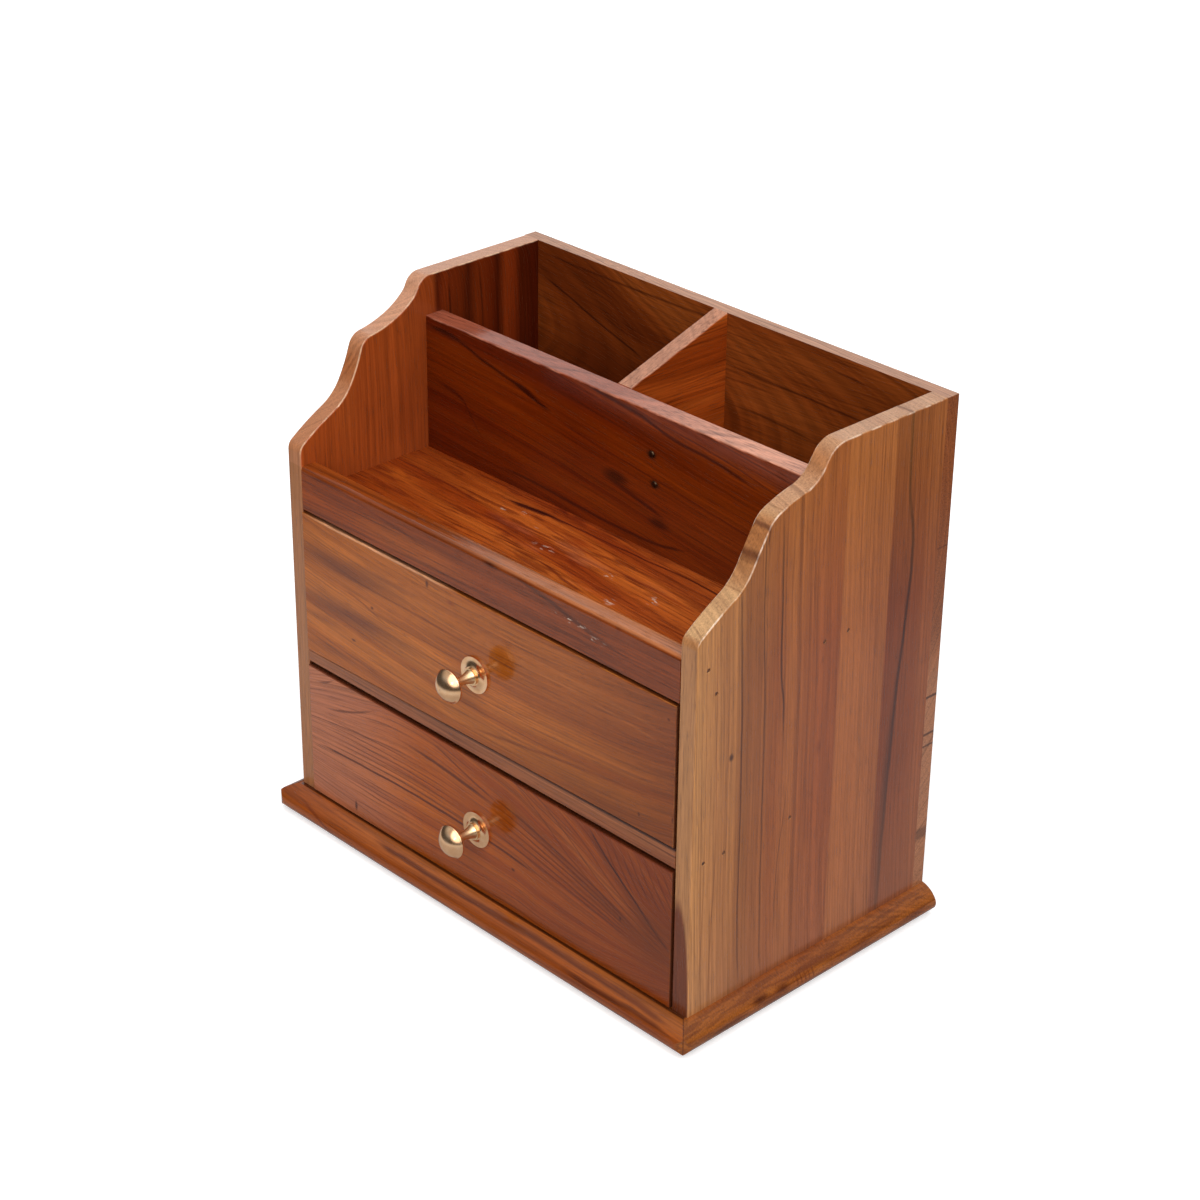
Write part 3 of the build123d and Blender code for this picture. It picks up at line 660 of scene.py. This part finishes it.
# Shelf. The floor of the tray and of both pockets, one board of reddish teak with a dark vein.
# Small things dragged over it have scuffed its lacquer.
shelf = Board("shelf_teak", "X", "Y", "Z")
shelf.bend([(-121, 0), (-60, 1), (-10, 2), (40, 0), (121, -5)])
shelf.rings(2.6, -130, 20, tilt=0.08, waver=11.0, seed=23.0)
shelf.striped(tint(132, 50, 13), tint(160, 72, 22), tint(178, 90, 32))
shelf.zones_over("X", [(-121, 0.75), (-80, 0.6), (-40, 0.0)], tint(122, 46, 10))
shelf.spot((-105, -28), (16, 7), tint(174, 85, 25), 0.6, 0.0)
flecks = shelf.ease(shelf.noise(42.0, 330.0, 4.0, 9.0), 0.5, 0.64)
shelf.lay(tint(92, 28, 9), flecks, 0.62)
worn = shelf.ease(shelf.noise(30.0, 150.0, 5.0, 4.0), 0.56, 0.7)
shelf.lay(tint(190, 116, 84), worn, shelf.oval((10, -34), (100, 26), 0.0), 0.28)
shelf.zones_over("X", [(20, 0.0), (70, 0.3), (121, 0.35)], tint(184, 92, 38))
shelf.vein([(-66, -10), (-50, -9), (-34, -7), (-15, -6.5), (30, -6), (55, -5), (80, -6.5), (121, -8)],
           1.0, tint(70, 18, 8), 0.85, 16, 1.6)
shelf.vein([(-53, -9.2), (-44, -8.8), (-34, -7.6), (-22, -5.8)], 2.6, tint(52, 12, 8), 0.95, 8)
shelf.vein([(-50, 2.6), (-40, 3.6), (-30, 2.2), (-20, -2)], 2.4, tint(88, 24, 8), 0.8, 6)
shelf.vein([(-100, -19), (-85, -18.5), (-70, -19.5), (-56, -20.5)], 1.3, tint(96, 26, 10), 0.7)
shelf.vein([(-30, -14), (0, -18), (30, -22), (60, -23), (90, -25)], 1.0, tint(104, 30, 12), 0.6)
shelf.vein([(0, -40), (12, -42), (24, -45), (40, -47)], 1.3, tint(84, 24, 10), 0.75, 8)
shelf.vein([(-95, -52), (-75, -51.4), (-55, -52)], 1.2, tint(96, 28, 12), 0.6, 8)
shelf.vein([(-40, -31), (-10, -34), (25, -38), (60, -42)], 0.9, tint(112, 34, 12), 0.5)
shelf.spot((1, -16), (11, 6), tint(132, 44, 14), 0.5, 0.0)
for place, size in (
    ((-37, -13), (4, 2)), ((-23, -18), (3, 2)), ((-6, -30), (9, 3)), ((33, -28), (3, 4)),
    ((62, -30), (5, 5)), ((50, -44), (4, 4)), ((-47, -17), (3, 2)),
):
    shelf.scuff(place, size)
shelf.shade_inside(shelf.side_mask("Z", -1.0))
dress("shelf_board", shelf.finish(tint(78, 20, 6), 0.6, streaks=0.6))

# Front partition. The front wall of the pockets, lower than the sides, of dark reddish teak with
# slanting dark veins and a knot. Its top is laid pale, a painted sheen of the light from above, and
# its top arrises paler still, partly wear and partly a painted glint.
wall = Board("partition_teak", "X", "Z", "Y")
wall.bend([(-121, 12), (-60, 8), (0, 1), (60, -7), (121, -13)])
wall.rings(2.6, 40, 60, waver=9.0, seed=31.0)
wall.striped(tint(85, 21, 1), tint(105, 34, 2), tint(120, 45, 4))
wall.spot((-8.7, 204.1), (34, 13), tint(84, 22, 6), 0.4, 0.0)
wall.spot((71.3, 191.1), (50, 14), tint(121, 46, 7), 0.35, 0.0)
wall.spot((-106.7, 191.1), (24, 16), tint(104, 28, 2), 0.35, 0.2)
wall.zones_over("X", [(-20, 0.0), (100, 0.5)], tint(132, 54, 10))
wall.zones_over("X", [(-121, 0.35), (-50, 0.0)], tint(74, 16, 1))
wall.vein([(-119.7, 232.1), (-102.7, 231.6), (-78.7, 226.1), (-58.7, 222.1), (-48.7, 219.1),
           (-34.7, 216.1)], 1.5, tint(52, 12, 4), 0.9, 6)
wall.vein([(-114.7, 232.6), (-104.7, 232.1), (-96.7, 231.1)], 2.6, tint(48, 10, 4), 0.9, 6)
wall.vein([(-64.7, 223.6), (-54.7, 221.7), (-42.7, 218.5)], 2.4, tint(48, 10, 4), 0.9, 8)
wall.vein([(-35.7, 214.6), (-8.7, 210.1), (21.3, 207.1), (61.3, 202.1), (122.3, 194.1)],
          0.8, tint(70, 18, 6), 0.7)
wall.vein([(-18.7, 237.1), (1.3, 235.1), (21.3, 232.6), (41.3, 228.1), (61.3, 226.6), (91.3, 221.1)],
          1.4, tint(56, 14, 6), 0.85)
wall.vein([(1.3, 237.1), (31.3, 233.1), (61.3, 230.1), (101.3, 223.1)], 0.7, tint(70, 20, 8), 0.7)
wall.vein([(-73.7, 177.6), (-53.7, 177.9), (-18.7, 176.1), (21.3, 175.1), (41.3, 177.1), (53.3, 180.6)],
          1.2, tint(58, 14, 6), 0.8)
wall.vein([(-119.7, 207.1), (-106.7, 205.6), (-96.7, 203.1), (-90.7, 197.1), (-84.7, 190.1),
           (-78.7, 185.1)], 1.6, tint(66, 16, 6), 0.75)
wall.vein([(-4.7, 197.6), (9.3, 195.1), (25.3, 191.6), (39.3, 188.1)], 1.8, tint(52, 12, 6), 0.75, 10)
wall.spot((5.3, 199.1), (11, 4.4), tint(44, 10, 4), 0.85, 0.25)
wall.spot((32, 185.6), (9, 3.4), tint(50, 12, 6), 0.8, 0.2)
for place in ((27.3, 217.1), (29.3, 203.6)):
    wall.spot(place, (4.2, 2.8), tint(34, 18, 10), 0.9, 0.3)
# The top is laid pale, paler to the right: a painted sheen of the light from above.
wall.lay(tint(155, 85, 62), wall.side_mask("Z", 1.0), 0.8)
wall.zones_over("X", [(0, 0.0), (80, 0.85)], tint(210, 145, 115), wall.side_mask("Z", 1.0))
wall.wear_and_glint("Z", tint(179, 114, 89), 0.6)
dress("front_partition", wall.finish(tint(66, 18, 6), 0.5))

# Cross partition. The short wall between the two pockets, glued between the front partition and the
# back. Its top slopes down to the front and is laid paler than its faces: a painted sheen of the
# light from above.
cross = Board("cross_partition_teak", "Y", "Z", "X")
cross.rings(4.0, 60, -60, tilt=0.1, waver=5.0, seed=37.0)
cross.striped(tint(146, 59, 15), tint(172, 77, 24), tint(187, 95, 35))
# Painted sheen of the light from above on the top.
cross.lay(tint(180, 132, 106), cross.side_mask("Z", 1.0), 0.8)
cross.wear_and_glint("Z", tint(206, 156, 128), 0.5)
dress("cross_partition", cross.finish(dark_line, 0.4))

# Front rail. The lip of the tray, standing on the shelf between the sides, with its top planed
# round. It has a dark streak down its front at the right, and small chips in its lacquer.
rail = Board("rail_teak", "X", "Z", "Y")
rail.rings(3.4, 60, -140, tilt=-0.04, waver=3.0, seed=41.0)
rail.striped(tint(114, 49, 11), tint(135, 59, 14), tint(147, 69, 17))
rail.spot((-45, 171), (52, 8), tint(152, 76, 20), 0.6, 0.3)
rail.zones_over("X", [(-20, 0.0), (90, 0.45), (121, 0.5)], tint(108, 48, 16))
rail.spot((-96, 176), (30, 7), tint(108, 45, 14), 0.5, 0.0)
rail.vein([(14, 183.5), (40, 180.5), (60, 176), (92, 171)], 1.8, tint(75, 32, 14), 0.75, 20)
rail.vein([(-96, 182), (-50, 177), (-30, 175)], 1.0, tint(94, 35, 8), 0.6)
rail.vein([(-121, 180.5), (-100, 181.5), (-84, 181)], 1.2, tint(81, 28, 6), 0.7)
rail.vein([(-70, 168), (-20, 167), (30, 168.5), (100, 167)], 0.7, tint(96, 39, 10), 0.5)
rail.spot((7, 183), (8, 3), tint(50, 13, 2), 0.85, 0.0)
rail.spot((85, 184), (2.5, 6), tint(86, 32, 9), 0.6, 0.0)
# The top is laid darker at the left and paler to the right: a painted reflection of the dark boards
# above at the left and of the bright light at the right.
rail_top = rail.side_mask("Z", 1.0)
rail.lay(tint(123, 57, 20), rail_top, 0.5)
rail.zones_over("X", [(-40, 0.0), (30, 0.6), (121, 0.75)], tint(184, 112, 64), rail_top)
rail.scuff((57, 175.5), (14, 1.8), 0.95)
rail.scuff((72, 172), (8, 1.8), 0.95)
rail.shade_inside(rail.side_mask("Z", -1.0))
dress("front_rail", rail.finish(dark_line, 0.5))

# Back panel. A board as wide as the case, nailed on behind the sides, its grain running across. Its
# sawn ends show at the rear of each side.
back = Board("back_panel_teak", "X", "Z", "Y")
back.bend([(-121, 10), (-80, 5), (-40, -2), (20, -3), (121, 0)])
back.rings(2.8, 206, -46, waver=7.0, tilt=0.12, seed=43.0)
back.striped(tint(95, 38, 11), tint(122, 55, 18), tint(138, 68, 25))
back.vein([(-121, 240.5), (-100, 234), (-80, 227), (-60, 221), (-45, 216)], 1.0, tint(52, 20, 8), 0.8)
back.vein([(5, 231.5), (40, 231), (90, 230)], 0.9, tint(58, 22, 10), 0.7)
for points, width in (
    ([(-121, 251), (-60, 250), (0, 251)], 0.9), ([(58, 249), (75, 248), (92, 247)], 0.9),
    ([(14, 214), (40, 213), (62, 211)], 0.8),
):
    back.vein(points, width, tint(60, 24, 10), 0.6)
# The top is laid pale: a painted sheen of the light from above.
back.lay(tint(181, 131, 99), back.side_mask("Z", 1.0), 0.85)
back.lay(tint(140, 80, 46), back.end_mask, 0.7)
back.lay(tint(164, 108, 74), back.end_mask, back.rise("Z", 150, 110), 0.8)
for height, width, amount in (
    (113, 0.9, 0.9), (94, 0.9, 0.9), (88, 0.7, 0.8), (42, 4.0, 0.6), (186, 0.6, 0.5),
):
    back.end_line(height, width, tint(70, 34, 22), amount)
back.wear_and_glint("Z", tint(214, 168, 130), 0.4)
dress("back_panel", back.finish(tint(60, 24, 10), 0.6))

# Nails. Steel nails driven through the back into the other boards of the case, and two heavier ones
# in the front partition. They are darkened and dull.
steel, tree = blank_material("darkened_steel")
place = put(tree, "TexCoord").outputs["Object"]
tarnish = put(tree, "TexNoise", {"Vector": place, "Scale": 900.0, "Detail": 3.0}).outputs[0]
tone = put(tree, "ValToRGB", {0: tarnish})
set_stops(tone.color_ramp, [
    (0.3, tint(40, 24, 16)), (0.55, tint(72, 54, 40)), (0.8, tint(140, 126, 100)),
])
dent = put(tree, "Bump", {"Height": tarnish, "Strength": 0.4, "Distance": 0.2 * mm})
surface(tree, {
    "Base Color": tone.outputs[0], "Metallic": 1.0, "Normal": dent.outputs[0],
    "Roughness": put(tree, "MapRange", {"Value": tarnish, "To Min": 0.55, "To Max": 0.25}).outputs[0],
})
for node in ("partition_nails", "back_nails"):
    dress(node, steel)

# Side pins. Steel pins driven through the sides into the rail, the shelf and the divider. Lumpy
# brown wax, rubbed over their heads, hides the steel.
wax, tree = blank_material("brown_wax")
place = put(tree, "TexCoord").outputs["Object"]
lumps = put(tree, "TexNoise", {"Vector": place, "Scale": 1500.0}).outputs[0]
tone = put(tree, "ValToRGB", {0: lumps})
set_stops(tone.color_ramp, [(0.35, tint(66, 34, 18)), (0.65, tint(116, 66, 36))])
smear = put(tree, "Bump", {"Height": lumps, "Strength": 0.5, "Distance": 0.1 * mm})
surface(tree, {"Base Color": tone.outputs[0], "Roughness": 0.4, "Normal": smear.outputs[0]})
for node in ("left_side_pins", "right_side_pins"):
    dress(node, wax)

# Screws. Bright zinc wood screws: six countersunk up through the base board into the sides and
# the back, and one from inside each drawer into its knob.
zinc, tree = blank_material("bright_zinc")
place = put(tree, "TexCoord").outputs["Object"]
spangle = put(tree, "TexVoronoi", {"Vector": place, "Scale": 1400.0}).outputs["Distance"]
tone = put(tree, "ValToRGB", {0: spangle})
set_stops(tone.color_ramp, [(0.0, tint(150, 148, 142)), (1.0, tint(196, 194, 186))])
surface(tree, {
    "Base Color": tone.outputs[0], "Metallic": 1.0,
    "Roughness": put(tree, "MapRange", {"Value": spangle, "To Min": 0.28, "To Max": 0.45}).outputs[0],
})
for node in ("base_screws", "upper_knob_screw", "lower_knob_screw"):
    dress(node, zinc)

# Upper drawer front. A calm board of golden-brown teak with soft dark bands at its left, and a few
# pin knots.
upper = Board("upper_front_teak", "X", "Z", "Y")
upper.bend([(-121, 8), (-85, 4), (-50, 1), (0, -2), (60, 0), (121, 7)])
upper.rings(3.0, -300, 30, waver=3.0, seed=47.0)
upper.striped(tint(145, 73, 21), tint(160, 85, 25), tint(170, 94, 31))
upper.zones_over("X", [(-20, 0.0), (60, 0.24), (121, 0.75)], tint(106, 45, 13))
upper.spot((6, 118), (60, 22), tint(184, 98, 32), 0.25, 0.0)
for centre, size, amount in (
    ((-96, 144), (64, 7.5), 0.75), ((-90, 141.5), (26, 3.4), 0.5), ((-90, 121), (60, 8), 0.8),
    ((-78, 121.5), (20, 3), 0.5), ((-108, 112), (26, 3), 0.5), ((-60, 149), (40, 2.6), 0.5),
    ((-104, 98), (30, 3), 0.4),
):
    upper.spot(centre, size, tint(98, 46, 24), amount, 0.0)
for centre, size in (
    ((-76, 132), (30, 3.4)), ((-94, 104.5), (48, 2.6)), ((-100, 153), (36, 3)), ((-30, 126), (40, 5)),
):
    upper.spot(centre, size, tint(187, 103, 32), 0.5, 0.0)
upper.spot((76, 98), (100, 12), tint(106, 51, 18), 0.6, 0.0)
upper.vein([(-95, 133), (-84, 132.6), (-72, 129.6), (-60, 126)], 0.8, tint(106, 49, 17), 0.6, 8)
upper.vein([(-110, 141), (-60, 140.4), (0, 139.6)], 0.9, tint(102, 46, 15), 0.6, 30)
upper.vein([(-20, 96), (20, 102), (60, 108), (120, 114)], 1.2, tint(106, 47, 14), 0.6, 30)
for line in ([(0, 143.6), (40, 144), (80, 143), (121, 140)], [(20, 149), (60, 148.6), (121, 146)]):
    upper.vein(line, 1.0, tint(170, 96, 44), 0.3, 20)
upper.vein([(-60, 139.6), (0, 139.1), (60, 137.6), (121, 136)], 0.8, tint(114, 51, 14), 0.4, 30)
for height in (97, 103, 109, 116, 122, 129, 134, 151, 156):
    start = -90 + height * 7 % 60
    line = [(start, height + 2), (start + 50, height), (start + 110, height + 1)]
    upper.vein(line, 0.45, tint(98, 44, 12), 0.5, 30)
upper.spot((-17.5, 155), (5, 1.6), tint(114, 36, 8), 0.6, 0.0)
for place, size in (
    ((-71.5, 131.5), (1.6, 1.1)), ((-33, 158.5), (1.5, 2.6)), ((116, 154), (1.2, 1.1)),
    ((-85.5, 109.5), (2.2, 1.0)), ((119.5, 108), (0.8, 2.4)), ((100, 102), (1.0, 1.3)),
):
    upper.spot(place, size, tint(73, 29, 9), 0.85)
# A painted reflection and shadow of the knob, up and to the right of its rose.
upper.spot((17, 141), (10, 8), tint(128, 58, 14), 0.45, 0.0)
# A pale line along the top arris at the left: partly wear, partly a painted highlight.
upper.vein([(-122, 161.4), (-80, 161.5), (-10, 161.4)], 1.0, tint(214, 160, 122), 0.7, 20, 0.4)
upper.wear_and_glint("Y", tint(199, 127, 49), 0.35)
edges_from = case_front - 0.5
upper.shade_inside(upper.rest_of(upper.facing_mask("Y")), upper.behind(edges_from))
upper.shade_inside(upper.facing_mask("X"))
dress("upper_drawer_front", upper.finish(tint(92, 46, 24), 0.35, fibres=0.2))

# Lower drawer front. A strongly figured board: fine lines arch over its left half and draw together
# towards a knot beyond its right end, and steep lines fill its upper right corner.
lower = Board("lower_front_teak", "X", "Z", "Y")
lower.bend([(-121, 42.5), (-80, 44.4), (-40, 45.8), (0, 44.6), (20, 43.5), (40, 40), (60, 37.6),
            (90, 35), (121, 34)])
lower.fan([(-121, 74), (-85, 92), (-50, 104), (0, 90), (40, 78), (60, 70), (80, 56), (100, 42),
           (121, 30)])
lower.rings(2.6, -300, 0, waver=1.6, seed=53.0)
lower.striped(tint(149, 68, 13), tint(163, 79, 16), tint(173, 87, 19))
lower.zones_over("X", [(-121, 0.7), (-80, 0.5), (-40, 0.0)], tint(168, 106, 80))
lower.zones_over("X", [(-60, 0.0), (40, 0.5), (121, 0.68)], tint(100, 32, 6))
figure = tint(60, 18, 6)
lower.vein([(34, 86), (56, 70), (84, 56), (112, 42)], 4.2, tint(158, 84, 34), 0.4, 24)
lower.vein([(0, 74), (40, 62), (80, 49), (112, 38)], 5.0, tint(78, 30, 12), 0.35, 24)
lower.vein([(64, 86), (80, 70), (98, 56), (118, 44)], 4.0, tint(84, 34, 14), 0.4, 16)
lower.vein([(-115, 42.5), (-80, 44.3), (-50, 45.5), (-25, 45.5), (20, 43.5), (40, 40)],
           1.1, figure, 0.85)
lower.vein([(-110, 64), (-95, 68), (-80, 74), (-70, 80)], 1.0, figure, 0.65)
lower.vein([(-115, 76), (-106, 79), (-100, 83)], 1.0, figure, 0.6, 6)
lower.vein([(-60, 69.6), (-50, 70.4), (-40, 70), (0, 66), (20, 63)], 1.5, figure, 0.8, 24)
lower.vein([(-35, 80), (-18, 75), (0, 70), (16, 66)], 0.9, figure, 0.65, 12)
for height in (48.5, 51, 53.4, 56.2, 59, 62):
    line = [(-118, height - 4), (-80, height - 1), (-44, height), (0, height - 2.4)]
    lower.vein(line, 0.55, figure, 0.55, 30)
for height in (38, 34, 29, 24):
    line = [(-112, height - 3), (-60, height), (-10, height), (30, height - 2)]
    lower.vein(line, 0.5, figure, 0.4, 30)
for left_end, middle, right_end in (
    (70, 60, 43), (66.5, 57, 41), (63, 54, 39.4), (59.5, 51, 38), (56, 48, 36.6), (52, 45, 35.4),
):
    lower.vein([(4, left_end), (50, middle), (104, right_end)], 0.75, figure, 0.55, 16)
for start in (20, 34, 46, 58):
    line = [(start, 84), (start + 20, 73), (start + 42, 60 - start * 0.05), (121, 34 + start * 0.16)]
    lower.vein(line, 0.75, figure, 0.5, 10)
lower.vein([(69, 83), (80, 72.5), (90, 64.5), (100, 57), (110, 49), (121, 42)],
           1.3, tint(50, 14, 6), 0.8, 4)
for start in (76, 81, 86, 91, 96, 101, 106, 111, 116):
    line = [(start, 86), (start + 5, 77), (start + 11, 68), (start + 20, 58)]
    lower.vein(line, 1.3, figure, 0.5, 6, 1.6)
for centre, size in (((90, 45), (1.0, 1.6)), ((22, 37), (1.8, 1.1)), ((-88, 20), (1.4, 3.8))):
    lower.spot(centre, size, tint(56, 20, 6), 0.85)
# A painted reflection and shadow of the knob, up and to the right of its rose.
lower.spot((17, 62), (10, 8), tint(112, 46, 12), 0.45, 0.0)
lower.spot((0, 16), (130, 6), tint(86, 34, 8), 0.55, 0.0)
lower.spot((112, 44), (30, 26), tint(90, 39, 11), 0.5, 0.1)
lower.wear_and_glint("Y", tint(180, 103, 36), 0.3)
# The upward faces along its top edge are laid dark: painted shade under the divider.
lower.lay(tint(84, 30, 10), lower.ease(lower.facing["Z"], 0.1, 0.6), 0.8)
lower.shade_inside(lower.rest_of(lower.facing_mask("Y")), lower.behind(edges_from))
lower.shade_inside(lower.facing_mask("X"))
dress("lower_drawer_front", lower.finish(tint(72, 34, 22), 0.7, fibres=0.2))

# Drawer boxes. Sides, back and bottom of plain teak, sanded and left without stain or gloss, and
# pinned together.
grain_runs = {"left": "YZX", "right": "YZX", "back": "XZY", "bottom": "XYZ"}
for drawer, seed in (("upper", 61.0), ("lower", 67.0)):
    for piece, runs in grain_runs.items():
        name = drawer + "_drawer_" + piece
        inside = Board(name + "_teak", *runs)
        inside.rings(4.4, 30, -90, tilt=0.07, waver=6.0, seed=seed)
        inside.striped(tint(158, 104, 60), tint(178, 124, 76), tint(194, 142, 92))
        dress(name, inside.finish(tint(120, 70, 38), 0.5, tint(150, 96, 56), 0.4, gloss=0.5))
        seed += 1.0
for node in ("upper_drawer_pins", "lower_drawer_pins", "upper_bottom_brads", "lower_bottom_brads"):
    dress(node, steel)

# Knobs and roses. Turned from pale brass and polished: a domed head on a tapered stem over a thin
# rose. The turning tool left fine rings on them, and the stems are a little duller.
knob_middle = -1.5
stem_front = -88
stem_radius = 4.4
for drawer, height in (("lower", 47.3), ("upper", 126.3)):
    brass, tree = blank_material(drawer + "_knob_brass")
    place = put(tree, "TexCoord").outputs["Object"]
    spot = put(tree, "SeparateXYZ", {0: place}).outputs
    sideways = calc(tree, "SUBTRACT", spot["X"], knob_middle * mm)
    off_centre = length_of(tree, sideways, calc(tree, "SUBTRACT", spot["Z"], height * mm))
    rings = line_noise(tree, off_centre, 4200.0, 5.0, 2.0)
    turned = line_noise(tree, spot["Y"], 2600.0, 9.0, 2.0)
    mottle = put(tree, "TexNoise", {"Vector": place, "Scale": 260.0, "Detail": 3.0}).outputs[0]
    tone = put(tree, "ValToRGB", {0: mottle})
    set_stops(tone.color_ramp, [
        (0.3, tint(236, 182, 134)), (0.55, tint(248, 200, 154)), (0.8, tint(255, 218, 180)),
    ])
    behind_head = ease(tree, spot["Y"], stem_front * mm, (stem_front + 2) * mm)
    slender = ease(tree, off_centre, stem_radius * mm, (stem_radius - 1) * mm)
    on_stem = calc(tree, "MULTIPLY", behind_head, slender)
    # The stem's brass is laid paler: a painted sheen of the light from above along it.
    tones = {0: on_stem, 6: tone.outputs[0], 7: tint(240, 206, 160)}
    stem_sheen_tone = put(tree, "Mix", tones, data_type="RGBA").outputs[2]
    relief = calc(tree, "ADD", rings, turned)
    fine = put(tree, "Bump", {"Height": relief, "Strength": 0.14, "Distance": 0.06 * mm})
    haze = calc(tree, "MULTIPLY_ADD", mottle, 0.12, 0.13)
    surface(tree, {
        "Base Color": stem_sheen_tone, "Metallic": 1.0, "Normal": fine.outputs[0],
        "Roughness": calc(tree, "MULTIPLY_ADD", on_stem, 0.12, haze),
    })
    dress(drawer + "_knob", brass)
    dress(drawer + "_knob_rose", brass)
